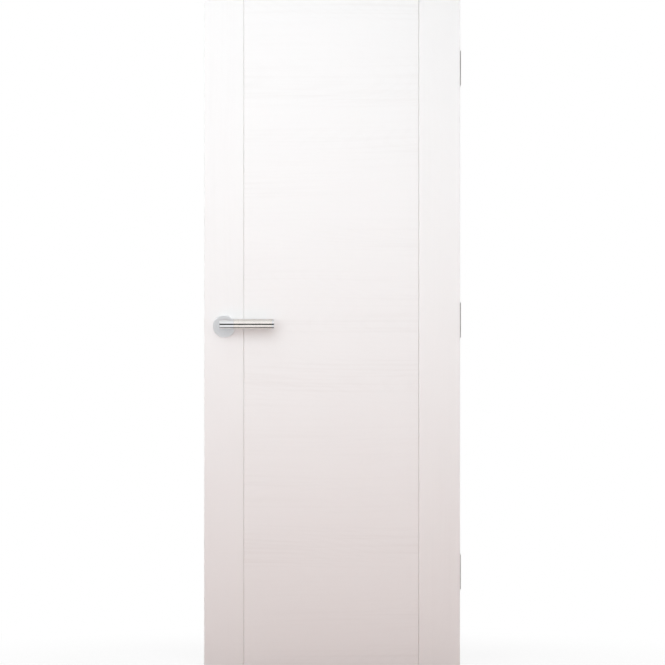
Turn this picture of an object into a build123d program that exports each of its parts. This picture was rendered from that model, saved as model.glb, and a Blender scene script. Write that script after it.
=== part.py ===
from build123d import *
import os

# A timber fire door: a grooved flush leaf on three butt hinges, with a lever handle set and a flush latch.
# Millimetres. X runs to the hinge side, Y away from the front face, Z up.
# The origin is the middle of the bottom hinge's jamb plate, on the face that lies on the jamb.

# Leaf
LEAF_WIDTH = 762.0
LEAF_HEIGHT = 1981.0
LEAF_THICKNESS = 44.0
FACING_THICKNESS = 4.0
LATCH_SIDE_WIDTH = 118.0
HINGE_SIDE_WIDTH = 123.0
GROOVE_WIDTH = 3.0
GROOVE_DEPTH = 3.0
EDGE_ROUND = 1.5
LIPPING_THICKNESS = 8.0
STILE_WIDTH = 90.0
RAIL_HEIGHT = 60.0

# Fire seals let into the edges
SEAL_WIDTH = 15.0
SEAL_DEPTH = 4.0
SEAL_SINK = 0.2
SEAL_END_GAP = 6.0

# Hinges
HINGE_HEIGHT = 102.0
HINGE_REACH = 38.0
PLATE_THICKNESS = 2.5
JAMB_GAP = 3.0
KNUCKLE_RADIUS = 6.0
KNUCKLE_COUNT = 5
KNUCKLE_CLEARANCE = 0.5
PIN_RADIUS = 3.5
PIN_CLEARANCE = 0.05
PIN_STANDOFF = 8.0
PIN_CAP_HEIGHT = 3.0
PIN_CAP_ROUND = 1.8
BEARING_THICKNESS = 2.4
BEARING_CLEARANCE = 0.3
BOTTOM_HINGE_RISE = 225.0
TOP_HINGE_DROP = 150.0
SCREW_HOLE_RADIUS = 2.3
COUNTERSINK_RADIUS = 3.9
OUTER_SCREW_SPACING = 76.0
INNER_SCREW_SPACING = 26.0
OUTER_SCREW_REACH = 16.0
INNER_SCREW_REACH = 29.0
RECESS_FIT = 0.2

# Latch
BACKSET = 60.0
SPINDLE_HEIGHT = 1009.0
SPINDLE_HOLE_RADIUS = 9.0
LATCH_RADIUS = 11.0
LATCH_LENGTH = 76.0
LATCH_FIT = 0.2
FOLLOWER_HOLE_RADIUS = 6.5
FOREND_HEIGHT = 57.0
FOREND_WIDTH = 25.0
FOREND_THICKNESS = 3.0
BOLT_HEIGHT = 15.0
BOLT_WIDTH = 11.0
BOLT_LENGTH = 26.0
BOLT_CLEARANCE = 0.3
BOLT_ROUND = 0.8
FOREND_SCREW_SPACING = 43.0

# Lever set
SPINDLE_SIZE = 8.0
SPINDLE_FIT = 0.1
SPINDLE_GRIP = 30.0
ROSE_RADIUS = 33.0
ROSE_THICKNESS = 9.0
ROSE_ROUND = 2.5
NECK_RADIUS = 8.0
NECK_CLEARANCE = 0.4
FACE_CLEARANCE = 0.6
BAR_RADIUS = 14.5
BAR_RISE = 6.0
FINGER_GAP = 36.0
SHANK_OVERHANG = 13.0
SHANK_LENGTH = 29.5
COLLAR_LENGTH = 13.5
GRIP_LENGTH = 100.5
END_CAP_LENGTH = 6.0
SPIGOT_RADIUS = 9.0
SPIGOT_FIT = 0.1
JOINT_CHAMFER = 0.3
END_CHAMFER = 0.8
GRUB_HOLE_RADIUS = 2.1
GRUB_REACH = 10.0

# Places worked out from the sizes
HALF = LEAF_THICKNESS / 2
INNER_HALF = HALF - FACING_THICKNESS
HINGE_EDGE = -JAMB_GAP
LATCH_EDGE = HINGE_EDGE - LEAF_WIDTH
LEAF_BOTTOM = -BOTTOM_HINGE_RISE - HINGE_HEIGHT / 2
LEAF_TOP = LEAF_BOTTOM + LEAF_HEIGHT
LATCH_GROOVE_X = LATCH_EDGE + LATCH_SIDE_WIDTH
HINGE_GROOVE_X = HINGE_EDGE - HINGE_SIDE_WIDTH
LATCH_STILE_X = LATCH_EDGE + LIPPING_THICKNESS
HINGE_STILE_X = HINGE_EDGE - LIPPING_THICKNESS
TOP_HINGE_Z = LEAF_TOP - TOP_HINGE_DROP - HINGE_HEIGHT / 2
HINGE_PLACES = {"bottom": 0.0, "middle": TOP_HINGE_Z / 2, "top": TOP_HINGE_Z}
PIN_X = -KNUCKLE_RADIUS
PIN_Y = HALF + PIN_STANDOFF
PLATE_EDGE_Y = PIN_Y - HINGE_REACH
BARREL_SPACE = KNUCKLE_RADIUS + KNUCKLE_CLEARANCE
KNUCKLE_SPACE = BEARING_THICKNESS + 2 * BEARING_CLEARANCE
KNUCKLE_LENGTH = (HINGE_HEIGHT - (KNUCKLE_COUNT - 1) * KNUCKLE_SPACE) / KNUCKLE_COUNT
KNUCKLE_PITCH = KNUCKLE_LENGTH + KNUCKLE_SPACE
SPINDLE_X = LATCH_EDGE + BACKSET
SPINDLE_Z = LEAF_BOTTOM + SPINDLE_HEIGHT
BAR_Y = -HALF - FINGER_GAP - BAR_RADIUS
BAR_Z = SPINDLE_Z + BAR_RISE
COLLAR_X = SPINDLE_X + SHANK_LENGTH
GRIP_X = COLLAR_X + COLLAR_LENGTH
END_CAP_X = GRIP_X + GRIP_LENGTH


def block(x0, x1, y0, y1, z0, z1):
    """A box between two corners."""
    return Pos((x0 + x1) / 2, (y0 + y1) / 2, (z0 + z1) / 2) * Box(x1 - x0, y1 - y0, z1 - z0)


def rod_x(radius, x0, x1, y, z):
    """A round bar along X."""
    return Pos((x0 + x1) / 2, y, z) * Rot(0, 90, 0) * Cylinder(radius, x1 - x0)


def rod_y(radius, x, y0, y1, z):
    """A round bar along Y."""
    return Pos(x, (y0 + y1) / 2, z) * Rot(90, 0, 0) * Cylinder(radius, y1 - y0)


def rod_z(radius, x, y, z0, z1):
    """A round bar along Z."""
    return Pos(x, y, (z0 + z1) / 2) * Cylinder(radius, z1 - z0)


def across(shape):
    """The same piece on the other face of the leaf."""
    return mirror(shape, about=Plane.XZ)


def write(name, *shapes):
    """Write one node, made of one or more separate solids."""
    solids = [solid for shape in shapes for solid in shape.solids()]
    whole = solids[0] if len(solids) == 1 else Compound(children=solids)
    export_step(whole, f"parts/{name}.step")


def grooved(x, inward):
    """The corners of a half V-groove down one side of a facing, from the butt joint out to the face."""
    return [(x, -HALF + GROOVE_DEPTH), (x + inward * GROOVE_WIDTH / 2, -HALF)]


def facing(left, right):
    """A front facing board between two sides, each given as its corners from the back out to the face."""
    start = (left[0][0], -INNER_HALF)
    end = (right[0][0], -INNER_HALF)
    outline = Polyline(start, *left, *reversed(right), end, close=True)
    return Pos(0, 0, LEAF_BOTTOM) * extrude(make_face(outline), amount=LEAF_HEIGHT, dir=(0, 0, 1))


def face_arrises(board):
    """The two long edges of a front facing's face, from left to right."""
    return board.edges().filter_by(Axis.Z).group_by(Axis.Y)[0].sort_by(Axis.X)


def hinge_recess(z):
    """The space cut into the leaf's edge for one hinge plate, open at the back face."""
    half = HINGE_HEIGHT / 2 + RECESS_FIT
    back = HINGE_EDGE - PLATE_THICKNESS
    return block(back, HINGE_EDGE, PLATE_EDGE_Y - RECESS_FIT, HALF, z - half, z + half)


def edge_strip(x0, x1, z0, z1):
    """A length of the seal's section, centred on the leaf's thickness."""
    return block(x0, x1, -SEAL_WIDTH / 2, SEAL_WIDTH / 2, z0, z1)


def latch_edge_runs():
    """The two heights between which the latch edge carries a seal, below and above the forend."""
    reach = FOREND_HEIGHT / 2 + SEAL_END_GAP
    return [(LEAF_BOTTOM, SPINDLE_Z - reach), (SPINDLE_Z + reach, LEAF_TOP)]


def hinge_edge_runs():
    """The heights between which the hinge edge carries a seal, clear of every hinge plate."""
    reach = HINGE_HEIGHT / 2 + SEAL_END_GAP
    starts = [LEAF_BOTTOM] + [z + reach for z in HINGE_PLACES.values()]
    ends = [z - reach for z in HINGE_PLACES.values()] + [LEAF_TOP]
    return list(zip(starts, ends))


def latch_bore(radius, length):
    """The round space for the latch case, bored in from the latch edge."""
    return rod_x(radius, LATCH_EDGE, LATCH_EDGE + length, 0, SPINDLE_Z)


def spindle_hole(radius):
    """The round way for the spindle through the whole leaf."""
    return rod_y(radius, SPINDLE_X, -HALF, HALF, SPINDLE_Z)


def forend(spare):
    """The latch's face plate, let in flush, larger all round by spare."""
    half_width = FOREND_WIDTH / 2 + spare
    half_height = FOREND_HEIGHT / 2 + spare
    inner = LATCH_EDGE + FOREND_THICKNESS
    return block(LATCH_EDGE, inner, -half_width, half_width, SPINDLE_Z - half_height, SPINDLE_Z + half_height)


def bolt(spare):
    """The latch bolt, flush with the forend, larger round its sides by spare."""
    half_width = BOLT_WIDTH / 2 + spare
    half_height = BOLT_HEIGHT / 2 + spare
    inner = LATCH_EDGE + BOLT_LENGTH
    return block(LATCH_EDGE, inner, -half_width, half_width, SPINDLE_Z - half_height, SPINDLE_Z + half_height)


def forend_screw_holes():
    """The two screw holes of the forend, above and below the bolt."""
    rise = FOREND_SCREW_SPACING / 2
    inner = LATCH_EDGE + FOREND_THICKNESS
    return [screw_hole(inner, LATCH_EDGE, 0, SPINDLE_Z + side * rise) for side in (-1, 1)]


def knuckle_span(number):
    """The bottom and top of one knuckle, counted from the bottom of the hinge."""
    low = -HINGE_HEIGHT / 2 + number * KNUCKLE_PITCH
    return low, low + KNUCKLE_LENGTH


def hinge_plate(x0, x1, numbers):
    """A hinge plate between two depths, rolled into the numbered knuckles round the pin's bore."""
    half = HINGE_HEIGHT / 2
    plate = block(x0, x1, PLATE_EDGE_Y, PIN_Y, -half, half)
    plate -= rod_z(BARREL_SPACE, PIN_X, PIN_Y, -half, half)
    for number in numbers:
        low, high = knuckle_span(number)
        plate += block(x0, x1, PIN_Y - BARREL_SPACE, PIN_Y, low, high)
        plate += rod_z(KNUCKLE_RADIUS, PIN_X, PIN_Y, low, high)
    return plate - rod_z(PIN_RADIUS + PIN_CLEARANCE, PIN_X, PIN_Y, -half, half)


def screw_hole(x_back, x_open, y, z):
    """A countersunk screw hole through a plate, from its back to the side the screw goes in from."""
    thickness = abs(x_back - x_open)
    depth = COUNTERSINK_RADIUS - SCREW_HOLE_RADIUS
    inward = 1 if x_back > x_open else -1
    drill = Cylinder(SCREW_HOLE_RADIUS, thickness)
    cone = Pos(0, 0, -(thickness - depth) / 2) * Cone(COUNTERSINK_RADIUS, SCREW_HOLE_RADIUS, depth)
    return Pos((x_back + x_open) / 2, y, z) * Rot(0, 90 * inward, 0) * (drill + cone)


def hinge_screw_holes(x_back, x_open):
    """The four screw holes of a hinge plate, an outer pair and an inner pair."""
    rows = [(OUTER_SCREW_REACH, OUTER_SCREW_SPACING / 2), (INNER_SCREW_REACH, INNER_SCREW_SPACING / 2)]
    return [screw_hole(x_back, x_open, PIN_Y - reach, side * z) for reach, z in rows for side in (-1, 1)]


def hinge_pin():
    """The hinge pin with a button cap at each end."""
    half = HINGE_HEIGHT / 2
    cap = rod_z(KNUCKLE_RADIUS, PIN_X, PIN_Y, half, half + PIN_CAP_HEIGHT)
    cap = fillet(cap.edges().filter_by(GeomType.CIRCLE).sort_by(Axis.Z)[-1], PIN_CAP_ROUND)
    return rod_z(PIN_RADIUS, PIN_X, PIN_Y, -half, half) + cap + mirror(cap, about=Plane.XY)


def hinge_bearing(number):
    """The bearing ring above one knuckle."""
    low = knuckle_span(number)[1] + BEARING_CLEARANCE
    high = low + BEARING_THICKNESS
    ring = rod_z(KNUCKLE_RADIUS, PIN_X, PIN_Y, low, high)
    return ring - rod_z(PIN_RADIUS + PIN_CLEARANCE, PIN_X, PIN_Y, low, high)


def rim(solid, last):
    """The outer rim of a bar along X, at its right end if last, else at its left end."""
    rims = solid.edges().filter_by(GeomType.CIRCLE).sort_by(Axis.X)
    ends = [edge for edge in rims if abs(edge.radius - BAR_RADIUS) < SPIGOT_FIT]
    return ends[-1] if last else ends[0]


def bar_piece(x0, x1, left_chamfer, right_chamfer):
    """A length of the lever's round bar with chamfered ends."""
    piece = rod_x(BAR_RADIUS, x0, x1, BAR_Y, BAR_Z)
    piece = chamfer(rim(piece, False), left_chamfer)
    return chamfer(rim(piece, True), right_chamfer)


def spindle(spare, grip):
    """The square spindle from lever to lever, larger all round by spare."""
    half = SPINDLE_SIZE / 2 + spare
    reach = HALF + grip
    return block(SPINDLE_X - half, SPINDLE_X + half, -reach, reach, SPINDLE_Z - half, SPINDLE_Z + half)


def lever_shank():
    """The front lever's casting: neck on the spindle, plain end of the bar and spigot in the grip."""
    bar = bar_piece(SPINDLE_X - SHANK_OVERHANG, COLLAR_X, END_CHAMFER, JOINT_CHAMFER)
    neck = rod_y(NECK_RADIUS, SPINDLE_X, BAR_Y, -HALF - FACE_CLEARANCE, SPINDLE_Z)
    spigot = rod_x(SPIGOT_RADIUS, COLLAR_X, END_CAP_X, BAR_Y, BAR_Z)
    grub_y = -HALF - ROSE_THICKNESS - GRUB_REACH
    grub_hole = rod_z(GRUB_HOLE_RADIUS, SPINDLE_X, grub_y, SPINDLE_Z - NECK_RADIUS, SPINDLE_Z)
    return bar + neck + spigot - spindle(SPINDLE_FIT, SPINDLE_GRIP) - grub_hole


def sleeve(x0, x1):
    """A length of the lever's bar that is threaded on the spigot."""
    bore = rod_x(SPIGOT_RADIUS + SPIGOT_FIT, x0, x1, BAR_Y, BAR_Z)
    return bar_piece(x0, x1, JOINT_CHAMFER, JOINT_CHAMFER) - bore


def rose():
    """The front rose, a disc with a rounded rim and a hole for the neck."""
    disc = rod_y(ROSE_RADIUS, SPINDLE_X, -HALF - ROSE_THICKNESS, -HALF, SPINDLE_Z)
    disc = fillet(disc.edges().filter_by(GeomType.CIRCLE).sort_by(Axis.Y)[0], ROSE_ROUND)
    return disc - spindle_hole_through_rose()


def spindle_hole_through_rose():
    """The neck's running space in the front rose."""
    return rod_y(NECK_RADIUS + NECK_CLEARANCE, SPINDLE_X, -HALF - ROSE_THICKNESS, -HALF, SPINDLE_Z)


os.makedirs("parts", exist_ok=True)

# Framing and core inside the leaf
recesses = [hinge_recess(z) for z in HINGE_PLACES.values()]
latch_grooves = [edge_strip(LATCH_EDGE, LATCH_EDGE + SEAL_DEPTH, *run) for run in latch_edge_runs()]
hinge_grooves = [edge_strip(HINGE_EDGE - SEAL_DEPTH, HINGE_EDGE, *run) for run in hinge_edge_runs()]
top_groove = edge_strip(LATCH_STILE_X, HINGE_STILE_X, LEAF_TOP - SEAL_DEPTH, LEAF_TOP)
latch_space = latch_bore(LATCH_RADIUS + LATCH_FIT, LATCH_LENGTH)
core_left = LATCH_STILE_X + STILE_WIDTH
core_right = HINGE_STILE_X - STILE_WIDTH
core_low = LEAF_BOTTOM + RAIL_HEIGHT
core_high = LEAF_TOP - RAIL_HEIGHT

latch_lipping = block(LATCH_EDGE, LATCH_STILE_X, -INNER_HALF, INNER_HALF, LEAF_BOTTOM, LEAF_TOP)
write("latch_lipping", latch_lipping - latch_grooves - latch_space - forend(RECESS_FIT))
hinge_lipping = block(HINGE_STILE_X, HINGE_EDGE, -INNER_HALF, INNER_HALF, LEAF_BOTTOM, LEAF_TOP)
write("hinge_lipping", hinge_lipping - hinge_grooves - recesses)
latch_stile = block(LATCH_STILE_X, core_left, -INNER_HALF, INNER_HALF, LEAF_BOTTOM, LEAF_TOP)
write("latch_stile", latch_stile - top_groove - latch_space - spindle_hole(SPINDLE_HOLE_RADIUS))
hinge_stile = block(core_right, HINGE_STILE_X, -INNER_HALF, INNER_HALF, LEAF_BOTTOM, LEAF_TOP)
write("hinge_stile", hinge_stile - top_groove)
top_rail = block(core_left, core_right, -INNER_HALF, INNER_HALF, core_high, LEAF_TOP)
write("top_rail", top_rail - top_groove)
write("bottom_rail", block(core_left, core_right, -INNER_HALF, INNER_HALF, LEAF_BOTTOM, core_low))
write("core_board", block(core_left, core_right, -INNER_HALF, INNER_HALF, core_low, core_high))

# Facing boards
latch_side = facing([(LATCH_EDGE, -HALF)], grooved(LATCH_GROOVE_X, -1))
latch_side = fillet(face_arrises(latch_side)[0], EDGE_ROUND) - spindle_hole(SPINDLE_HOLE_RADIUS)
centre = facing(grooved(LATCH_GROOVE_X, 1), grooved(HINGE_GROOVE_X, -1))
hinge_side = facing(grooved(HINGE_GROOVE_X, 1), [(HINGE_EDGE, -HALF)])
hinge_side = fillet(face_arrises(hinge_side)[-1], EDGE_ROUND)
write("front_latch_side_facing", latch_side)
write("front_centre_facing", centre)
write("front_hinge_side_facing", hinge_side)
write("back_latch_side_facing", across(latch_side))
write("back_centre_facing", across(centre))
write("back_hinge_side_facing", across(hinge_side) - recesses)

# Fire seals
latch_depths = (LATCH_EDGE + SEAL_SINK, LATCH_EDGE + SEAL_DEPTH)
hinge_depths = (HINGE_EDGE - SEAL_DEPTH, HINGE_EDGE - SEAL_SINK)
latch_strips = [edge_strip(*latch_depths, *run) for run in latch_edge_runs()]
hinge_strips = [edge_strip(*hinge_depths, *run) for run in hinge_edge_runs()]
write("latch_edge_seal", *latch_strips)
write("hinge_edge_seal", *hinge_strips)
write("top_edge_seal", edge_strip(LATCH_STILE_X, HINGE_STILE_X, LEAF_TOP - SEAL_DEPTH, LEAF_TOP - SEAL_SINK))

# Latch
write("latch_forend", forend(0.0) - bolt(BOLT_CLEARANCE) - forend_screw_holes())
write("latch_bolt", fillet(bolt(0.0).edges().group_by(Axis.X)[0], BOLT_ROUND))
latch_case = rod_x(LATCH_RADIUS, LATCH_EDGE + FOREND_THICKNESS, LATCH_EDGE + LATCH_LENGTH, 0, SPINDLE_Z)
write("latch_case", latch_case - bolt(BOLT_CLEARANCE) - spindle_hole(FOLLOWER_HOLE_RADIUS))

# Hinges
jamb_knuckles = range(0, KNUCKLE_COUNT, 2)
door_knuckles = range(1, KNUCKLE_COUNT, 2)
jamb_plate = hinge_plate(-PLATE_THICKNESS, 0.0, jamb_knuckles) - hinge_screw_holes(0.0, -PLATE_THICKNESS)
door_back = HINGE_EDGE - PLATE_THICKNESS
door_plate = hinge_plate(door_back, HINGE_EDGE, door_knuckles) - hinge_screw_holes(door_back, HINGE_EDGE)
bearings = [hinge_bearing(number) for number in range(KNUCKLE_COUNT - 1)]
for place, height in HINGE_PLACES.items():
    lift = Pos(0, 0, height)
    write(f"{place}_hinge_jamb_plate", lift * jamb_plate)
    write(f"{place}_hinge_door_plate", lift * door_plate)
    write(f"{place}_hinge_pin", lift * hinge_pin())
    write(f"{place}_hinge_bearings", *[lift * bearing for bearing in bearings])

# Lever set
front_pieces = {
    "rose": rose(),
    "lever_shank": lever_shank(),
    "lever_collar": sleeve(COLLAR_X, GRIP_X),
    "lever_grip": sleeve(GRIP_X, END_CAP_X),
    "lever_end_cap": bar_piece(END_CAP_X, END_CAP_X + END_CAP_LENGTH, JOINT_CHAMFER, END_CHAMFER),
}
for name, piece in front_pieces.items():
    write(f"front_{name}", piece)
    write(f"back_{name}", across(piece))
write("spindle", spindle(0.0, SPINDLE_GRIP))
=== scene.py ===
"""Looks of a white timber fire door: painted leaf, lever handles, latch, hinges, and the studio round them.

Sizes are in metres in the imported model's frame: X to the hinge side, Y away from the front face, Z up.
"""

import logging
import math
from dataclasses import dataclass, field
from enum import Enum
from functools import cache
from typing import ClassVar, Iterable

import bpy
import numpy as np
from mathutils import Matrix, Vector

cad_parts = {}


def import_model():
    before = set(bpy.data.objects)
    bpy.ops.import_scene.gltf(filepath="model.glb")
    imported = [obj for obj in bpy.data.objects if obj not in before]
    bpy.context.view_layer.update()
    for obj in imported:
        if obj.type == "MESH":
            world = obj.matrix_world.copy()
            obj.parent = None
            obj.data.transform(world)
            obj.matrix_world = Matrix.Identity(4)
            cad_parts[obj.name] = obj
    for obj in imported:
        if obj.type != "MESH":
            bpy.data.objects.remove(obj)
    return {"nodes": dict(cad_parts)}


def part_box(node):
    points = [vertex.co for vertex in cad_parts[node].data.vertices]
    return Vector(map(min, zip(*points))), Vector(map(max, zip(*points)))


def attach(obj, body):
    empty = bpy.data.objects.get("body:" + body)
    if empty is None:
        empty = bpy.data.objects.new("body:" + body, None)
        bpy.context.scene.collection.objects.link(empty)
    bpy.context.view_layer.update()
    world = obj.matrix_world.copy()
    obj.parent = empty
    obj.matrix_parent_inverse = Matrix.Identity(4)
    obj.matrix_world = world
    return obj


LOG = logging.getLogger("fire_door")

Colour = tuple[float, float, float]
Point = tuple[float, float, float]
Pair = tuple[float, float]
Socket = bpy.types.NodeSocket
Axes = dict[str, Socket]
Nodes = dict[str, bpy.types.Object]

ORIGIN: Point = (0.0, 0.0, 0.0)
UNSCALED: Point = (1.0, 1.0, 1.0)
WHITE: Colour = (1.0, 1.0, 1.0)


class GrainRun(Enum):
    """Which way the grain of a board runs."""

    ACROSS = "X"
    UPRIGHT = "Z"


class BrushRun(Enum):
    """Which way the fine lines of a brushed metal run, as a frequency on each axis."""

    ALONG_X = (1.0, 60.0, 60.0)
    ALONG_Z = (60.0, 60.0, 1.0)
    TURNED = (60.0, 1.5, 1.5)


class Wiring:
    """A node tree being wired, with short calls for the nodes that the finishes share."""

    def __init__(self, tree: bpy.types.NodeTree) -> None:
        """Start from an empty tree.

        Args:
            tree: The node tree to fill.
        """
        self.tree = tree
        self.tree.nodes.clear()

    def add(self, kind: str, **settings: object) -> bpy.types.Node:
        """Add one node.

        Args:
            kind: Blender's name of the node type.
            settings: Properties of the node to set.

        Returns:
            The new node.
        """
        node = self.tree.nodes.new(kind)
        for name, value in settings.items():
            setattr(node, name, value)
        return node

    def feed(self, socket: Socket, value: object) -> None:
        """Link a socket to another, or set it to a constant.

        Args:
            socket: The input to feed.
            value: An output socket, a number or a tuple.
        """
        if isinstance(value, Socket):
            self.tree.links.new(value, socket)
        else:
            socket.default_value = value

    def math(self, operation: str, *values: object) -> Socket:
        """A sum, product or other operation on numbers.

        Args:
            operation: Blender's name of the operation.
            values: Its operands, each a socket or a number.

        Returns:
            The result.
        """
        node = self.add("ShaderNodeMath", operation=operation)
        for socket, value in zip(node.inputs, values):
            self.feed(socket, value)
        return node.outputs[0]

    def place(self, kind: str = "Object") -> Socket:
        """Coordinates of the shaded point, of the kind that Blender calls by this name."""
        return self.add("ShaderNodeTexCoord").outputs[kind]

    def split(self, vector: Socket) -> Axes:
        """Take a vector apart.

        Args:
            vector: The vector.

        Returns:
            Its three parts by axis name.
        """
        parts = self.add("ShaderNodeSeparateXYZ")
        self.feed(parts.inputs[0], vector)
        return {axis: parts.outputs[axis] for axis in "XYZ"}

    def vector(self, *values: object) -> Socket:
        """Put a vector together.

        Args:
            values: Its three parts, each a socket or a number.

        Returns:
            The vector.
        """
        node = self.add("ShaderNodeCombineXYZ")
        for socket, value in zip(node.inputs, values):
            self.feed(socket, value)
        return node.outputs[0]

    def scaled(self, scale: Point, location: Point = ORIGIN) -> Socket:
        """Object coordinates stretched by a factor on each axis and then moved.

        Args:
            scale: Factor on each axis.
            location: What is added after scaling.

        Returns:
            The stretched coordinates.
        """
        mapping = self.add("ShaderNodeMapping")
        self.feed(mapping.inputs["Vector"], self.place())
        mapping.inputs["Scale"].default_value = scale
        mapping.inputs["Location"].default_value = location
        return mapping.outputs[0]

    def distance(self, names: str, centre: Pair) -> Socket:
        """Distance from a line along one axis: the root of the summed squares on the other two.

        Args:
            names: The two axes across the line.
            centre: Where the line crosses them.

        Returns:
            The distance.
        """
        axes = self.split(self.place())
        offs = [self.math("SUBTRACT", axes[name], middle) for name, middle in zip(names, centre)]
        squares = [self.math("MULTIPLY", off, off) for off in offs]
        return self.math("SQRT", self.math("ADD", *squares))

    def camera_look(self) -> Socket:
        """One for rays straight from the camera."""
        return self.add("ShaderNodeLightPath").outputs["Is Camera Ray"]

    def mirror_look(self) -> Socket:
        """One for rays that come off metal or through glass."""
        path = self.add("ShaderNodeLightPath").outputs
        return self.math("MAXIMUM", path["Is Glossy Ray"], path["Is Transmission Ray"])

    def noise(self, vector: Socket, scale: float, detail: float = 2.0, roughness: float = 0.5) -> Socket:
        """A smooth noise between 0 and 1.

        Args:
            vector: Where it is read.
            scale: Its frequency.
            detail: How many finer layers it has.
            roughness: How strong the finer layers are.

        Returns:
            The noise value.
        """
        node = self.add("ShaderNodeTexNoise", noise_dimensions="3D")
        self.feed(node.inputs["Vector"], vector)
        node.inputs["Scale"].default_value = scale
        node.inputs["Detail"].default_value = detail
        node.inputs["Roughness"].default_value = roughness
        return node.outputs[0]

    def between(self, value: Socket, low: float, high: float, to_low: float = 0.0,
                to_high: float = 1.0) -> Socket:
        """A value carried smoothly from one range to another and held at its ends.

        Args:
            value: The value to carry over.
            low: Start of its range.
            high: End of its range.
            to_low: Result at the start.
            to_high: Result at the end.

        Returns:
            The carried value.
        """
        node = self.add("ShaderNodeMapRange", interpolation_type="SMOOTHSTEP")
        names = ("Value", "From Min", "From Max", "To Min", "To Max")
        for name, item in zip(names, (value, low, high, to_low, to_high)):
            self.feed(node.inputs[name], item)
        return node.outputs[0]

    def mixed(self, share: object, first: object, second: object) -> Socket:
        """A colour between two colours.

        Args:
            share: How much of the second colour, from 0 to 1.
            first: A colour or a colour socket.
            second: A colour or a colour socket.

        Returns:
            The mixed colour.
        """
        node = self.add("ShaderNodeMix", data_type="RGBA")
        inputs = [socket for socket in node.inputs if socket.type == "RGBA"]
        self.feed(node.inputs["Factor"], share)
        for socket, colour in zip(inputs, (first, second)):
            self.feed(socket, (*colour, 1.0) if isinstance(colour, tuple) else colour)
        return next(socket for socket in node.outputs if socket.type == "RGBA")

    def chosen(self, share: Socket, first: bpy.types.Node, second: bpy.types.Node) -> Socket:
        """A shader between two shaders.

        Args:
            share: How much of the second shader, from 0 to 1.
            first: The first shader's node.
            second: The second shader's node.

        Returns:
            The mixed shader.
        """
        node = self.add("ShaderNodeMixShader")
        for socket, value in zip(node.inputs, (share, first.outputs[0], second.outputs[0])):
            self.feed(socket, value)
        return node.outputs[0]

    def bump(self, height: Socket, distance: float) -> Socket:
        """A normal that follows a height.

        Args:
            height: Height from 0 to 1.
            distance: What a height of 1 stands for.

        Returns:
            The bent normal.
        """
        node = self.add("ShaderNodeBump")
        node.inputs["Strength"].default_value = 1.0
        node.inputs["Distance"].default_value = distance
        self.feed(node.inputs["Height"], height)
        return node.outputs[0]


class Finish:
    """A surface finish: a name and the way its material is wired."""

    name: str

    @cache
    def material(self) -> bpy.types.Material:
        """Make the material with its shader, once.

        Returns:
            The finished material.
        """
        made = bpy.data.materials.new(self.name)
        made.use_nodes = True
        wiring = Wiring(made.node_tree)
        shader = wiring.add("ShaderNodeBsdfPrincipled")
        output = wiring.add("ShaderNodeOutputMaterial")
        wiring.feed(output.inputs["Surface"], shader.outputs[0])
        self.wire(wiring, shader.inputs)
        return made

    def wire(self, wiring: Wiring, shader: bpy.types.NodeInputs) -> None:
        """Feed the shader's sockets; each finish has its own way."""
        raise NotImplementedError


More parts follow.
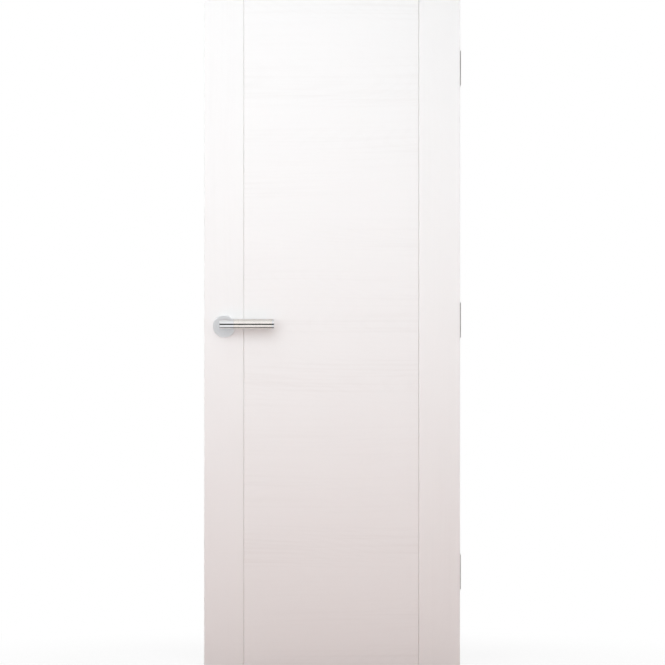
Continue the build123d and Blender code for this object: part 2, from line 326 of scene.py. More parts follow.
@dataclass(frozen=True)
class WhitePaint(Finish):
    """Satin white paint that lets the wood grain below show as faint relief.

    Waves, fibres, rings, patches and pores are noises, each with its frequencies along and across the grain.
    """

    name: str
    run: GrainRun
    shaded: Colour
    shift: Point = ORIGIN
    grooves: tuple[float, ...] = ()
    face: float = 0.0
    groove_reach: float = 0.0022
    groove_depth: float = 0.003
    colour: Colour = (0.855, 0.850, 0.846)
    # Painted shade: the paint's colour down in the grooves, standing in for the shade that falls there.
    groove_shade_colour: Colour = (0.80, 0.79, 0.785)
    roughness: Pair = (0.37, 0.48)
    gloss_scale: float = 9.0
    gloss_edges: Pair = (0.3, 0.7)
    waves: Pair = (1.3, 2.2)
    wave_swing: float = 0.045
    fibres: Pair = (2.4, 130.0)
    fibre_edges: Pair = (0.42, 0.72)
    rings: Pair = (0.7, 3.2)
    ring_count: float = 60.0
    ring_share: float = 0.22
    patches: Pair = (0.9, 8.0)
    patch_edges: Pair = (0.42, 0.66)
    patch_least: float = 0.25
    pores: Pair = (45.0, 1600.0)
    pore_edges: Pair = (0.58, 0.74)
    skin_scale: float = 900.0
    relief: float = 0.00010
    figure_depth: float = 0.55
    pore_depth: float = 0.30
    skin_height: float = 0.12

    def wire(self, wiring: Wiring, shader: bpy.types.NodeInputs) -> None:
        """Feed colour, gloss and relief from the grain, and paint shade into the grooves, darker towards
        their bottom.

        Args:
            wiring: The tree to add nodes to.
            shader: The shader's inputs.
        """
        axes = wiring.split(wiring.place())
        figure, pores = self.grain(wiring, axes)
        skin = wiring.noise(wiring.place(), self.skin_scale, detail=1.0)
        height = wiring.math("MULTIPLY", skin, self.skin_height)
        height = wiring.math("MULTIPLY_ADD", figure, -self.figure_depth, height)
        height = wiring.math("MULTIPLY_ADD", pores, -self.pore_depth, height)
        colour = wiring.mixed(figure, self.colour, self.shaded)
        # Painted shade: the paint turns darker down in the grooves.
        if self.grooves:
            colour = wiring.mixed(self.groove_shade_share(wiring, axes), colour, self.groove_shade_colour)
        gloss = wiring.noise(wiring.place(), self.gloss_scale, detail=3.0)
        wiring.feed(shader["Base Color"], colour)
        wiring.feed(shader["Roughness"], wiring.between(gloss, *self.gloss_edges, *self.roughness))
        wiring.feed(shader["Normal"], wiring.bump(height, self.relief))

    def grain(self, wiring: Wiring, axes: Axes) -> tuple[Socket, Socket]:
        """Fibres are a noise drawn out along the grain, rings the level lines of a slower drawn-out noise.

        Both fade in and out in long patches. Pores are short streaks, much finer than the fibres.

        Args:
            wiring: The tree to add nodes to.
            axes: Object coordinates by axis name.

        Returns:
            Strength of fibres with rings, and of pores, from 0 to 1.
        """
        along = wiring.math("ADD", axes[self.run.value], self.shift[0])
        across = wiring.math("ADD", axes["Z" if self.run is GrainRun.ACROSS else "X"], self.shift[1])
        wave = self.drawn_out(wiring, (along, across), self.waves)
        run = (along, wiring.math("MULTIPLY_ADD", wave, self.wave_swing, across))
        fibres = wiring.between(self.drawn_out(wiring, run, self.fibres, detail=3.0), *self.fibre_edges)
        level = wiring.math("MULTIPLY", self.drawn_out(wiring, run, self.rings), self.ring_count * math.tau)
        rings = wiring.between(wiring.math("SINE", level), 0.0, 1.0)
        lines = wiring.math("MULTIPLY", fibres, 1.0 - self.ring_share)
        lines = wiring.math("MULTIPLY_ADD", rings, self.ring_share, lines)
        patches = self.drawn_out(wiring, run, self.patches)
        patches = wiring.between(patches, *self.patch_edges, self.patch_least, 1.0)
        pores = wiring.between(self.drawn_out(wiring, run, self.pores), *self.pore_edges)
        return wiring.math("MULTIPLY", lines, patches), pores

    def drawn_out(self, wiring: Wiring, run: tuple[Socket, Socket], scales: Pair,
                  detail: float = 1.0) -> Socket:
        """A noise with its own frequency along the grain and across it.

        Args:
            wiring: The tree to add nodes to.
            run: Coordinates along and across the grain.
            scales: Frequency along and across the grain.
            detail: How many finer layers it has.

        Returns:
            The noise value.
        """
        stretched = [wiring.math("MULTIPLY", value, scale) for value, scale in zip(run, scales)]
        return wiring.noise(wiring.vector(*stretched, self.shift[2] + scales[1]), 1.0, detail)

    def groove_shade_share(self, wiring: Wiring, axes: Axes) -> Socket:
        """Share of painted shade in the grooves, by how far down a groove a point lies: 0 on the face and
        away from the grooves, 1 at the bottom.

        Args:
            wiring: The tree to add nodes to.
            axes: Object coordinates by axis name.

        Returns:
            The share.
        """
        offs = [wiring.math("ABSOLUTE", wiring.math("SUBTRACT", axes["X"], line)) for line in self.grooves]
        near = wiring.math("LESS_THAN", wiring.math("MINIMUM", *offs), self.groove_reach)
        depth = wiring.math("SUBTRACT", self.face, wiring.math("ABSOLUTE", axes["Y"]))
        return wiring.math("MULTIPLY", near, wiring.between(depth, 0.0, self.groove_depth))


@dataclass(frozen=True)
class BareTimber(Finish):
    """Planed softwood with growth rings round a pith that lies outside the piece."""

    name: str
    run: GrainRun
    pith: Pair
    ring_pitch: float = 0.0045
    ring_edges: Pair = (0.2, 1.0)
    ring_share: float = 0.62
    early: Colour = (0.72, 0.54, 0.34)
    late: Colour = (0.50, 0.32, 0.16)
    along_scale: float = 0.6
    across_scale: float = 8.0
    wobble_scale: float = 2.0
    wobble: float = 0.012
    fibre_scale: float = 90.0
    fibre_edges: Pair = (0.2, 0.8)
    fibre_share: float = 0.30
    roughness: Pair = (0.60, 0.78)
    relief: float = 0.00015

    def wire(self, wiring: Wiring, shader: bpy.types.NodeInputs) -> None:
        """The ring value is the sine of the distance to the pith over the ring pitch, made wavy by a noise.

        Args:
            wiring: The tree to add nodes to.
            shader: The shader's inputs.
        """
        along, across = self.along_scale, self.across_scale
        if self.run is GrainRun.ACROSS:
            section, stretch = "YZ", (along, across, across)
        else:
            section, stretch = "XY", (across, across, along)
        wobble = wiring.noise(wiring.scaled(stretch), self.wobble_scale)
        distance = wiring.math("MULTIPLY_ADD", wobble, self.wobble, wiring.distance(section, self.pith))
        rings = wiring.math("SINE", wiring.math("MULTIPLY", distance, math.tau / self.ring_pitch))
        rings = wiring.math("MULTIPLY", wiring.between(rings, *self.ring_edges), self.ring_share)
        fibre = wiring.noise(wiring.scaled(stretch), self.fibre_scale)
        share = wiring.math("MULTIPLY_ADD", fibre, self.fibre_share, rings)
        wiring.feed(shader["Base Color"], wiring.mixed(share, self.early, self.late))
        wiring.feed(shader["Roughness"], wiring.between(fibre, *self.fibre_edges, *self.roughness))
        wiring.feed(shader["Normal"], wiring.bump(share, self.relief))


@dataclass(frozen=True)
class ChipCore(Finish):
    """Pressed chipboard: small flakes in several wood tones."""

    name: str
    light: Colour = (0.66, 0.52, 0.35)
    dark: Colour = (0.45, 0.32, 0.19)
    flake_scale: float = 260.0
    flake_stretch: Point = (1.0, 3.0, 1.0)
    roughness: float = 0.85
    relief: float = 0.0003

    def wire(self, wiring: Wiring, shader: bpy.types.NodeInputs) -> None:
        """Each cell of a Voronoi pattern is one flake with a tone of its own.

        Args:
            wiring: The tree to add nodes to.
            shader: The shader's inputs.
        """
        flakes = wiring.add("ShaderNodeTexVoronoi", feature="F1")
        wiring.feed(flakes.inputs["Vector"], wiring.scaled(self.flake_stretch))
        flakes.inputs["Scale"].default_value = self.flake_scale
        tone = wiring.add("ShaderNodeSeparateColor")
        wiring.feed(tone.inputs[0], flakes.outputs["Color"])
        wiring.feed(shader["Base Color"], wiring.mixed(tone.outputs[0], self.light, self.dark))
        shader["Roughness"].default_value = self.roughness
        wiring.feed(shader["Normal"], wiring.bump(flakes.outputs["Distance"], self.relief))


@dataclass(frozen=True)
class SealPlastic(Finish):
    """Extruded white plastic with faint lines along the strip."""

    name: str
    lines: BrushRun
    colour: Colour = (0.74, 0.73, 0.71)
    faded: Colour = (0.66, 0.65, 0.63)
    line_scale: float = 28.0
    line_edges: Pair = (0.2, 0.8)
    stain_scale: float = 5.0
    stain_edges: Pair = (0.35, 0.75)
    roughness: Pair = (0.36, 0.50)
    relief: float = 0.00006

    def wire(self, wiring: Wiring, shader: bpy.types.NodeInputs) -> None:
        """Draw lines are a noise that is long along the strip and fine across it.

        Args:
            wiring: The tree to add nodes to.
            shader: The shader's inputs.
        """
        draw = wiring.noise(wiring.scaled(self.lines.value), self.line_scale)
        stain = wiring.between(wiring.noise(wiring.place(), self.stain_scale, detail=3.0), *self.stain_edges)
        wiring.feed(shader["Base Color"], wiring.mixed(stain, self.colour, self.faded))
        wiring.feed(shader["Roughness"], wiring.between(draw, *self.line_edges, *self.roughness))
        wiring.feed(shader["Normal"], wiring.bump(draw, self.relief))


@dataclass(frozen=True)
class Metal(Finish):
    """A metal with fine lines left by its making and a faint haze."""

    haze_scale: ClassVar[float] = 40.0
    line_edges: ClassVar[Pair] = (0.25, 0.75)

    name: str
    colour: Colour
    haze: Colour
    edge: Colour
    roughness: Pair
    relief: float

    def wire(self, wiring: Wiring, shader: bpy.types.NodeInputs) -> None:
        """Feed gloss and relief from the lines and colour from the haze; the edge colour tints grazing looks.

        Args:
            wiring: The tree to add nodes to.
            shader: The shader's inputs.
        """
        lines, haze = self.marks(wiring)
        shader["Metallic"].default_value = 1.0
        shader["Specular Tint"].default_value = (*self.edge, 1.0)
        wiring.feed(shader["Base Color"], wiring.mixed(haze, self.colour, self.haze))
        wiring.feed(shader["Roughness"], wiring.between(lines, *self.line_edges, *self.roughness))
        wiring.feed(shader["Normal"], wiring.bump(lines, self.relief))

    def clouds(self, wiring: Wiring) -> Socket:
        """A slow noise over the surface."""
        return wiring.noise(wiring.place(), self.haze_scale, detail=3.0)

    def marks(self, wiring: Wiring) -> tuple[Socket, Socket]:
        """The lines and the haze, each from 0 to 1; each kind of metal has its own way."""
        raise NotImplementedError


@dataclass(frozen=True)
class BrushedMetal(Metal):
    """A metal with straight or turned brush lines."""

    lines: BrushRun
    line_scale: float = 55.0
    haze_edges: Pair = (0.35, 0.75)

    def marks(self, wiring: Wiring) -> tuple[Socket, Socket]:
        """The lines are a noise that is long along the brush and fine across it.

        Args:
            wiring: The tree to add nodes to.

        Returns:
            The lines and the haze.
        """
        lines = wiring.noise(wiring.scaled(self.lines.value), self.line_scale, detail=3.0, roughness=0.6)
        return lines, wiring.between(self.clouds(wiring), *self.haze_edges)


@dataclass(frozen=True)
class SpunMetal(Metal):
    """A metal turned on a lathe, with fine rings round the axis through its middle, which runs along Y."""

    middle: Pair
    ring_scale: float = 2600.0
    ring_edges: Pair = (0.3, 0.7)
    ring_share: float = 0.6

    def marks(self, wiring: Wiring) -> tuple[Socket, Socket]:
        """The rings are a noise of the distance from the axis alone, and they show in the haze too.

        Args:
            wiring: The tree to add nodes to.

        Returns:
            The rings and the haze.
        """
        out = wiring.vector(wiring.distance("XZ", self.middle), 0.0, 0.0)
        rings = wiring.noise(out, self.ring_scale, detail=3.0, roughness=0.6)
        haze = wiring.math("MULTIPLY", self.clouds(wiring), 1.0 - self.ring_share)
        shown = wiring.between(rings, *self.ring_edges)
        return rings, wiring.math("MULTIPLY_ADD", shown, self.ring_share, haze)


POLISHED_CHROME = BrushedMetal("chrome_polish", (0.84, 0.845, 0.855), (0.82, 0.825, 0.835),
                               (0.25, 0.255, 0.26), (0.03, 0.055), 0.0, BrushRun.ALONG_X)
SATIN_NICKEL = BrushedMetal("nickel_satin", (0.905, 0.87, 0.83), (0.875, 0.84, 0.80),
                            (0.12, 0.115, 0.11), (0.12, 0.18), 0.000003, BrushRun.TURNED)
HINGE_STEEL = BrushedMetal("hinge_steel", (0.60, 0.59, 0.58), (0.54, 0.53, 0.52),
                           (0.60, 0.60, 0.60), (0.28, 0.40), 0.000008, BrushRun.ALONG_Z)
LATCH_STEEL = BrushedMetal("latch_steel", (0.64, 0.62, 0.60), (0.58, 0.56, 0.54),
                           (0.60, 0.60, 0.60), (0.22, 0.34), 0.000006, BrushRun.ALONG_Z)
SCREW_STEEL = BrushedMetal("screw_steel", (0.56, 0.56, 0.57), (0.46, 0.46, 0.47),
                           (0.60, 0.60, 0.60), (0.24, 0.38), 0.000006, BrushRun.TURNED)


def dress(nodes: Nodes, names: Iterable[str], finish: Finish) -> None:
    """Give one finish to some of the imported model's nodes.

    Args:
        nodes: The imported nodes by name.
        names: Those to dress.
        finish: The finish to give them.
    """
    material = finish.material()
    for name in names:
        nodes[name].data.materials.clear()
        nodes[name].data.materials.append(material)
        LOG.info("%s: %s", name, finish.name)


def surface(name: str, points: np.ndarray, finish: Finish) -> bpy.types.Object:
    """Put closed grids of points into one mesh object with flat faces, which keep a recess crisp.

    Each grid runs from a pole, through rings, to a pole: the first and last ring of every grid are single
    points repeated, so the triangles next to them close the shape.

    Args:
        name: The piece's name.
        points: Array of grids by rings by steps round by three coordinates.
        finish: The finish of the piece.

    Returns:
        The new object, at the origin.
    """
    grids, rings, steps, _ = points.shape
    inner = points[:, 1:-1].reshape(grids, -1, 3)
    poles = np.stack([points[:, 0, 0], points[:, -1, 0]], axis=1)
    vertices = np.concatenate([inner, poles], axis=1)
    count = vertices.shape[1]
    ring = np.arange(rings - 3)[:, None] * steps
    step = np.arange(steps)[None, :]
    after = (step + 1) % steps
    quads = np.stack([ring + step, ring + steps + step, ring + steps + after, ring + after], axis=-1)
    last = (rings - 3) * steps
    start_cap = np.stack([np.full(steps, count - 2), step[0], after[0]], axis=-1)
    end_cap = np.stack([np.full(steps, count - 1), last + after[0], last + step[0]], axis=-1)
    offsets = (np.arange(grids) * count)[:, None, None]
    faces = [face for patch in (quads.reshape(-1, 4), start_cap, end_cap)
             for face in (patch[None] + offsets).reshape(-1, patch.shape[-1]).tolist()]
    mesh = bpy.data.meshes.new(name)
    mesh.from_pydata(vertices.reshape(-1, 3), [], faces)
    mesh.polygons.foreach_set("use_smooth", np.zeros(len(mesh.polygons), dtype=bool))
    mesh.update()
    piece = bpy.data.objects.new(name, mesh)
    bpy.context.scene.collection.objects.link(piece)
    piece.data.materials.append(finish.material())
    return piece


class Drive(Enum):
    """The recess in a screw's head, by its number of arms or corners."""

    CROSS = 4
    HEX = 6


@dataclass(frozen=True)
class Screw:
    """A screw whose head is seen from above: a flat top with a driving recess over a cone or cylinder."""

    head_radius: float
    shank_radius: float
    head_height: float
    drive: Drive
    drive_radius: float
    drive_depth: float
    steps: int = 72
    top_rings: int = 20
    bar_level: float = 1.2
    bar_fall: float = 5.0
    bar_end_fall: float = 4.0
    flat_fall: float = 8.0

    def recess(self, radius: np.ndarray, angle: np.ndarray) -> np.ndarray:
        """Depth of the recess over the head, from 0 to 1.

        A cross is the union of two bars, each a smooth step of the distance from its middle line, cut off at
        the drive's radius. A hexagon is a smooth step of the largest distance from the three lines across it.

        Args:
            radius: Distance of each point from the axis.
            angle: Angle of each point round the axis.

        Returns:
            The depth share at each point.
        """
        if self.drive is Drive.CROSS:
            bar = np.minimum(np.abs(np.sin(angle)), np.abs(np.cos(angle))) * radius
            inside = np.minimum(self.bar_level - self.bar_fall * bar / self.drive_radius,
                                self.bar_end_fall * (1.0 - radius / self.drive_radius))
        else:
            turns = angle[..., None] + np.arange(3) * math.pi / 3
            flat = np.max(np.abs(np.cos(turns)), axis=-1) * radius
            inside = self.flat_fall * (1.0 - flat / self.drive_radius)
        share = np.clip(inside, 0.0, 1.0)
        return share * share * (3.0 - 2.0 * share)

    def grid(self) -> np.ndarray:
        """Rings of points from the middle of the top, over the rim and down to the tip on the axis.

        The top's height is minus the recess depth; the side goes straight from the rim to the shank.

        Returns:
            Array of rings by steps by three, with the screw's axis along Z and its top at zero.
        """
        angle = np.linspace(0.0, math.tau, self.steps, endpoint=False)[None, :]
        top = np.linspace(0.0, self.head_radius, self.top_rings)
        radius = np.concatenate([top, [self.shank_radius, 0.0]])[:, None]
        height = -self.drive_depth * self.recess(np.broadcast_to(radius, (len(radius), self.steps)), angle)
        height[-2:] = -self.head_height
        height[0] = height[0].mean()
        return np.stack([radius * np.cos(angle), radius * np.sin(angle), height], axis=-1)

    def placed(self, places: np.ndarray, outward: Point, turns: np.ndarray) -> np.ndarray:
        """Copies of the screw, each turned about its axis and set with its top at a place.

        Args:
            places: Array of places by three.
            outward: Direction that the tops face, along one of the axes.
            turns: Angle of each copy about its own axis.

        Returns:
            Array of screws by rings by steps by three.
        """
        normal = np.array(outward)
        side = np.roll(normal, 1)
        up = np.cross(normal, side)
        grid = self.grid()[None]
        cosine, sine = np.cos(turns)[:, None, None], np.sin(turns)[:, None, None]
        first = grid[..., 0] * cosine - grid[..., 1] * sine
        second = grid[..., 0] * sine + grid[..., 1] * cosine
        shape = first[..., None] * side + second[..., None] * up + grid[..., 2:3] * normal
        return shape + places[:, None, None, :]


PLATE_SCREW = Screw(head_radius=0.0037, shank_radius=0.0021, head_height=0.0015,
                    drive=Drive.CROSS, drive_radius=0.0022, drive_depth=0.0009)
GRUB_SCREW = Screw(head_radius=0.0020, shank_radius=0.0020, head_height=0.0028,
                   drive=Drive.HEX, drive_radius=0.00115, drive_depth=0.0014)


@dataclass
class DoorLeaf:
    """The grooved leaf: painted facings and lippings, bare framing ends and the fire seals in its edges."""

    boards: dict[str, GrainRun] = field(default_factory=lambda: {
        "latch_side": GrainRun.UPRIGHT, "centre": GrainRun.ACROSS, "hinge_side": GrainRun.UPRIGHT})
    grain_colours: dict[GrainRun, Colour] = field(default_factory=lambda: {
        GrainRun.UPRIGHT: (0.842, 0.836, 0.831), GrainRun.ACROSS: (0.826, 0.818, 0.812)})
    board_shift: Point = (0.37, 0.21, 4.0)
    face_shift: Point = (1.9, 2.3, 9.0)
    lipping_shift: Point = (5.0, 3.0, 2.0)
    latch_stile_pith: Pair = (-0.70, 0.09)
    hinge_stile_pith: Pair = (-0.07, -0.11)
    rail_pith: Pair = (0.06, 1.60)

    def dress(self, nodes: Nodes) -> None:
        """Paint the boards and lippings, and finish the framing and the seals.

        Args:
            nodes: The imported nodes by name.
        """
        self.paint(nodes)
        upright, across = GrainRun.UPRIGHT, GrainRun.ACROSS
        dress(nodes, ["latch_stile"], BareTimber("latch_stile_timber", upright, self.latch_stile_pith))
        dress(nodes, ["hinge_stile"], BareTimber("hinge_stile_timber", upright, self.hinge_stile_pith))
        dress(nodes, ["top_rail", "bottom_rail"], BareTimber("rail_timber", across, self.rail_pith))
        dress(nodes, ["core_board"], ChipCore("chip_core"))
        dress(nodes, ["latch_edge_seal", "hinge_edge_seal"], SealPlastic("seal_upright", BrushRun.ALONG_Z))
        dress(nodes, ["top_edge_seal"], SealPlastic("seal_top", BrushRun.ALONG_X))

    def paint(self, nodes: Nodes) -> None:
        """Paint the boards of both faces, each with its own stretch of grain, and the lippings.

        The grooves run where the boards meet.

        Args:
            nodes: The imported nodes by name.
        """
        low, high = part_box("front_latch_side_facing")
        grooves = (high.x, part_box("front_hinge_side_facing")[0].x)
        for number, (board, run) in enumerate(self.boards.items()):
            for turn, side in enumerate(("front", "back")):
                shift = tuple(step * number + jump * turn
                              for step, jump in zip(self.board_shift, self.face_shift))
                name, shaded = f"paint_{side}_{board}", self.grain_colours[run]
                dress(nodes, [f"{side}_{board}_facing"],
                      WhitePaint(name, run, shaded, shift, grooves, face=-low.y))
        shaded = self.grain_colours[GrainRun.UPRIGHT]
        dress(nodes, ["latch_lipping", "hinge_lipping"],
              WhitePaint("paint_lipping", GrainRun.UPRIGHT, shaded, self.lipping_shift))


@dataclass
class Hinges:
    """Three butt hinges; the door plates are screwed to the leaf's edge."""

    body: str = "door_leaf"
    places: tuple[str, ...] = ("bottom", "middle", "top")
    outer_row: Pair = (0.016, 0.038)
    inner_row: Pair = (0.029, 0.013)
    sink: float = 0.00012
    turn_step: float = 0.83
    screw: Screw = PLATE_SCREW

    def build(self) -> bpy.types.Object:
        """Make the screws of all the door plates, in the plates' countersinks.

        Each row of screws is given by its reach from the pin and its rise from the hinge's middle.

        Returns:
            One piece with every screw.
        """
        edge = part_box("hinge_lipping")[1].x - self.sink
        pins = [sum(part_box(f"{place}_hinge_pin"), Vector()) / 2 for place in self.places]
        rows = [(reach, side * rise) for reach, rise in (self.outer_row, self.inner_row) for side in (-1, 1)]
        places = np.array([(edge, pin.y - reach, pin.z + rise) for pin in pins for reach, rise in rows])
        turns = np.arange(len(places)) * self.turn_step
        piece = surface("hinge_screws", self.screw.placed(places, (1.0, 0.0, 0.0), turns), SCREW_STEEL)
        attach(piece, self.body)
        return piece

    def dress(self, nodes: Nodes) -> None:
        """Finish plates, pins and bearing rings in satin steel."""
        kinds = ("jamb_plate", "door_plate", "pin", "bearings")
        dress(nodes, [f"{place}_hinge_{kind}" for place in self.places for kind in kinds], HINGE_STEEL)


@dataclass
class Latch:
    """The latch let into the leaf's edge, with its forend held by two screws."""

    body: str = "door_leaf"
    screw_rise: float = 0.0215
    sink: float = 0.00012
    turns: Pair = (0.35, 1.15)
    screw: Screw = PLATE_SCREW

    def build(self) -> bpy.types.Object:
        """Make the two forend screws, above and below the bolt.

        Returns:
            One piece with both screws.
        """
        low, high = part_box("latch_forend")
        middle = (low + high) / 2
        rises = (-self.screw_rise, self.screw_rise)
        places = np.array([(low.x + self.sink, middle.y, middle.z + rise) for rise in rises])
        shape = self.screw.placed(places, (-1.0, 0.0, 0.0), np.array(self.turns))
        piece = surface("forend_screws", shape, SCREW_STEEL)
        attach(piece, self.body)
        return piece

    def dress(self, nodes: Nodes) -> None:
        """Finish forend, bolt, case and spindle in nickel plated steel."""
        dress(nodes, ["latch_forend", "latch_bolt", "latch_case", "spindle"], LATCH_STEEL)


@dataclass
class LeverSet:
    """The two levers on their roses, each held to the spindle by a grub screw under its neck."""

    body: str = "lever_set"
    sides: tuple[str, ...] = ("front", "back")
    neck_radius: float = 0.008
    grub_y: float = 0.041
    sink: float = 0.0006
    turns: Pair = (0.2, 0.7)
    grub: Screw = GRUB_SCREW
    rose_colour: Colour = (0.975, 0.98, 0.995)
    rose_haze: Colour = (0.935, 0.94, 0.96)
    rose_edge: Colour = (0.55, 0.56, 0.58)
    rose_roughness: Pair = (0.54, 0.66)
    rose_relief: float = 0.000012

    def middle(self) -> Vector:
        """The middle of the spindle, on the axis of the roses."""
        low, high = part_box("spindle")
        return (low + high) / 2

    def build(self) -> bpy.types.Object:
        """Make the two grub screws.

        Returns:
            One piece with both screws.
        """
        middle = self.middle()
        height = middle.z - self.neck_radius + self.sink
        places = np.array([(middle.x, y, height) for y in (-self.grub_y, self.grub_y)])
        shape = self.grub.placed(places, (0.0, 0.0, -1.0), np.array(self.turns))
        piece = surface("grub_screws", shape, SCREW_STEEL)
        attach(piece, self.body)
        return piece

    def dress(self, nodes: Nodes) -> None:
        """Polish shanks and end caps, and give grips, collars and roses their satin finishes.

        Args:
            nodes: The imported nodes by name.
        """
        finishes = {"shank": POLISHED_CHROME, "end_cap": POLISHED_CHROME,
                    "collar": SATIN_NICKEL, "grip": SATIN_NICKEL}
        for kind, finish in finishes.items():
            dress(nodes, [f"{side}_lever_{kind}" for side in self.sides], finish)
        middle = self.middle()
        rose = SpunMetal("rose_satin", self.rose_colour, self.rose_haze, self.rose_edge,
                         self.rose_roughness, self.rose_relief, (middle.x, middle.z))
        dress(nodes, [f"{side}_rose" for side in self.sides], rose)


@dataclass(frozen=True)
class Lamp:
    """A rectangular soft light."""

    name: str
    place: Point
    target: Point
    size: Pair
    power: float
    colour: Colour = WHITE

    def build(self) -> None:
        """Put the lamp in the scene, facing its target; metal mirrors the surround and not the lamp."""
        data = bpy.data.lights.new(self.name, "AREA")
        data.shape = "RECTANGLE"
        data.size, data.size_y = self.size
        data.energy = self.power
        data.color = self.colour
        lamp = bpy.data.objects.new(self.name, data)
        bpy.context.scene.collection.objects.link(lamp)
        lamp.location = self.place
        lamp.visible_glossy = False
        aim = np.array(self.target) - np.array(self.place)
        lamp.rotation_euler = Vector(aim).to_track_quat("-Z", "Y").to_euler()
        LOG.info("lamp %s: %.0f W", self.name, self.power)


@dataclass
class Studio:
    """A pale floor, soft lamps, a white surround and a long-lens camera square on to the front face.

    The leaf's left and right edges are given in pixels of a square picture. The slots, the band and the cap
    are parts of the surround that metal alone sees darker, bounded by the parts of a unit direction.
    """

    picture: int = 665
    leaf_left: float = 204.1
    leaf_right: float = 460.0
    distance: float = 12.0
    sensor: float = 36.0
    clip_end: float = 100.0
    floor_gap: float = 0.007
    floor_half: float = 3.2
    floor_colour: Colour = (0.50, 0.43, 0.40)
    floor_seen: Colour = (0.90, 0.90, 0.90)
    floor_mirrored: Colour = (0.06, 0.06, 0.06)
    floor_fade: Pair = (0.5, 1.6)
    floor_glow: float = 0.74
    mirror_fade: Pair = (0.34, 0.74)
    mirror_sides: Pair = (0.80, 1.80)
    mirror_side_glow: float = 0.40
    slot_rise: float = -0.05
    slot_edges: Pair = (0.25, 0.33)
    slot_sides: Pair = (0.14, 0.28)
    slot_colour: Colour = (0.02, 0.02, 0.02)
    band_edges: Pair = (0.10, 0.50)
    band_back: Pair = (-0.35, 0.10)
    band_sides: Pair = (0.55, 0.85)
    band_depth: float = 0.50
    cap_edges: Pair = (0.955, 0.995)
    cap_depth: float = 0.50
    fill_colour: Colour = (1.0, 0.97, 0.95)
    fill_strength: float = 0.01
    lamps: tuple[Lamp, ...] = (
        Lamp("upper_panel", (-0.80, -1.60, 2.60), (-0.4, 0.0, 1.30), (2.6, 1.6), 17.0, (0.955, 0.96, 0.96)),
        Lamp("left_panel", (-1.95, -1.50, 0.90), (-0.4, 0.0, 0.90), (1.6, 1.4), 7.4),
        Lamp("right_panel", (1.15, -1.50, 0.90), (-0.4, 0.0, 0.90), (1.6, 1.4), 9.2),
        Lamp("front_panel", (-0.70, -2.10, 1.45), (-0.5, 0.0, 1.40), (2.2, 1.8), 36.0, (0.93, 0.97, 0.99)),
        Lamp("low_strip", (-0.40, -1.70, -0.10), (-0.4, 0.0, 0.05), (1.8, 0.25), 2.3, (1.0, 0.15, 0.05)),
        Lamp("back_panel", (0.0, 3.40, 1.50), (0.0, 0.0, 0.80), (2.4, 1.8), 74.0),
        Lamp("hinge_side_panel", (3.40, 1.00, 1.00), (-0.4, 0.0, 0.80), (1.6, 1.6), 72.0),
        Lamp("latch_side_panel", (-4.20, 1.00, 1.00), (-0.4, 0.0, 0.80), (1.6, 1.6), 72.0),
        Lamp("back_top_panel", (-0.40, 0.75, 3.00), (-0.4, 0.0, 1.74), (1.6, 0.8), 10.0),
    )

    def build(self) -> None:
        """Set up floor, lamps, surround, camera and view transform."""
        self.build_floor()
        for lamp in self.lamps:
            lamp.build()
        self.build_surround()
        self.build_camera()
        bpy.context.scene.view_settings.view_transform = "Standard"

    def build_floor(self) -> None:
        """Lay a pale floor just under the leaf; it takes the door's shadow and fades into the surround."""
        low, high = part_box("bottom_rail")
        half, height = self.floor_half, low.z - self.floor_gap
        centre = (low + high) / 2
        square = ((-1, -1), (1, -1), (1, 1), (-1, 1))
        mesh = bpy.data.meshes.new("floor")
        mesh.from_pydata([(centre.x + x * half, y * half, height) for x, y in square], [], [(0, 1, 2, 3)])
        floor = bpy.data.objects.new("floor", mesh)
        bpy.context.scene.collection.objects.link(floor)
        floor.data.materials.append(self.floor_material(centre.x, height))
        LOG.info("floor at %.4f m", height)

    def floor_material(self, centre_x: float, height: float) -> bpy.types.Material:
        """A matt floor that turns white some way off the door, where the camera or metal sees it.

        Metal sees it dark close to the door, and greyer far to the sides.

        Args:
            centre_x: Middle of the door.
            height: Height of the floor.

        Returns:
            The floor's material.
        """
        material = bpy.data.materials.new("floor_white")
        material.use_nodes = True
        wiring = Wiring(material.node_tree)
        place = wiring.scaled(UNSCALED, (-centre_x, 0.0, -height))
        far = wiring.add("ShaderNodeVectorMath", operation="LENGTH")
        wiring.feed(far.inputs[0], place)
        reach = far.outputs["Value"]
        aside = wiring.math("ABSOLUTE", wiring.split(place)["X"])
        camera, mirrored = wiring.camera_look(), wiring.mirror_look()
        matt = wiring.add("ShaderNodeBsdfDiffuse")
        unseen = wiring.mixed(mirrored, self.floor_colour, self.floor_mirrored)
        wiring.feed(matt.inputs["Color"], wiring.mixed(camera, unseen, self.floor_seen))
        glow = wiring.math("MULTIPLY", camera, wiring.between(reach, *self.floor_fade, self.floor_glow, 1.0))
        mirror_glow = wiring.math("MULTIPLY", wiring.between(reach, *self.mirror_fade),
                                  wiring.between(aside, *self.mirror_sides, 1.0, self.mirror_side_glow))
        share = wiring.math("MULTIPLY_ADD", mirrored, mirror_glow, glow)
        seen = wiring.chosen(share, matt, wiring.add("ShaderNodeEmission"))
        wiring.feed(wiring.add("ShaderNodeOutputMaterial").inputs["Surface"], seen)
        return material

    def build_surround(self) -> None:
        """Surround the scene with a faint fill; the camera sees it white, metal white with darker parts."""
        world = bpy.data.worlds.new("surround")
        bpy.context.scene.world = world
        world.use_nodes = True
        wiring = Wiring(world.node_tree)
        camera, mirrored = wiring.camera_look(), wiring.mirror_look()
        shown = wiring.mixed(self.surround_shade(wiring), WHITE, self.slot_colour)
        seen = wiring.add("ShaderNodeBackground")
        wiring.feed(seen.inputs["Color"], wiring.mixed(mirrored, WHITE, shown))
        fill = wiring.add("ShaderNodeBackground")
        fill.inputs["Color"].default_value = (*self.fill_colour, 1.0)
        fill.inputs["Strength"].default_value = self.fill_strength
        surround = wiring.chosen(wiring.math("MAXIMUM", camera, mirrored), fill, seen)
        wiring.feed(wiring.add("ShaderNodeOutputWorld").inputs["Surface"], surround)

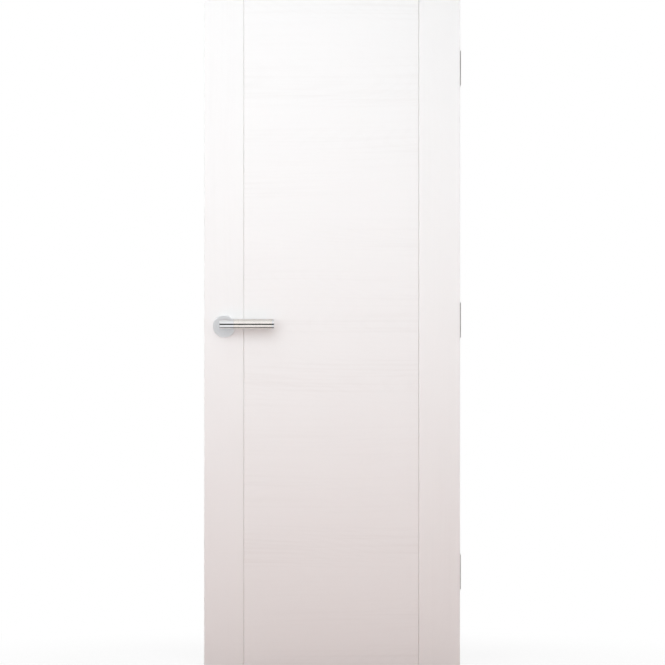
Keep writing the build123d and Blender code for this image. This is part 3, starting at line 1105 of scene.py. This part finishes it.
    def surround_shade(self, wiring: Wiring) -> Socket:
        """How dark metal sees each direction of the surround, from 0 to 1.

        Two dark slots, ahead of the door and behind it at the height of the levers, draw a line along their
        bars. A grey band round the sides and the back, and a grey cap overhead, give the metal its tone. Each
        is made of smooth steps of the direction's parts, and the darkest one counts.

        Args:
            wiring: The surround's tree.

        Returns:
            The shade.
        """
        axes = wiring.split(wiring.place("Generated"))
        rise = wiring.math("ABSOLUTE", wiring.math("SUBTRACT", axes["Z"], self.slot_rise))
        aside = wiring.math("ABSOLUTE", axes["X"])
        slot = wiring.math("MULTIPLY", wiring.between(aside, *self.slot_sides, 1.0, 0.0),
                           wiring.between(rise, *self.slot_edges, 1.0, 0.0))
        around = wiring.math("MAXIMUM", wiring.between(axes["Y"], *self.band_back),
                             wiring.between(aside, *self.band_sides))
        band = wiring.math("MULTIPLY", around, wiring.between(rise, *self.band_edges, self.band_depth, 0.0))
        cap = wiring.between(axes["Z"], *self.cap_edges, 0.0, self.cap_depth)
        return wiring.math("MAXIMUM", cap, wiring.math("MAXIMUM", slot, band))

    def build_camera(self) -> None:
        """Stand square on to the front face, far away, so that the leaf's height fills the picture."""
        low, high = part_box("front_centre_facing")
        left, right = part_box("front_latch_side_facing")[0].x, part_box("front_hinge_side_facing")[1].x
        scale = (right - left) / (self.leaf_right - self.leaf_left)
        offset = self.picture / 2 - (self.leaf_left + self.leaf_right) / 2
        data = bpy.data.cameras.new("camera")
        data.sensor_width = self.sensor
        data.lens = self.sensor * self.distance / (scale * self.picture)
        data.clip_end = self.clip_end
        camera = bpy.data.objects.new("camera", data)
        bpy.context.scene.collection.objects.link(camera)
        camera.location = ((left + right) / 2 + offset * scale, low.y - self.distance, (low.z + high.z) / 2)
        camera.rotation_euler = (math.pi / 2, 0.0, 0.0)
        bpy.context.scene.camera = camera
        LOG.info("camera lens %.1f mm", data.lens)


def main() -> None:
    """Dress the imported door, add its screws, and set up the studio."""
    logging.basicConfig(level=logging.INFO, format="%(message)s")
    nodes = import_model()["nodes"]
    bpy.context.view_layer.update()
    DoorLeaf().dress(nodes)
    for assembly in (Hinges(), Latch(), LeverSet()):
        assembly.dress(nodes)
        LOG.info("%s made", assembly.build().name)
    Studio().build()


if __name__ == "__main__":
    main()
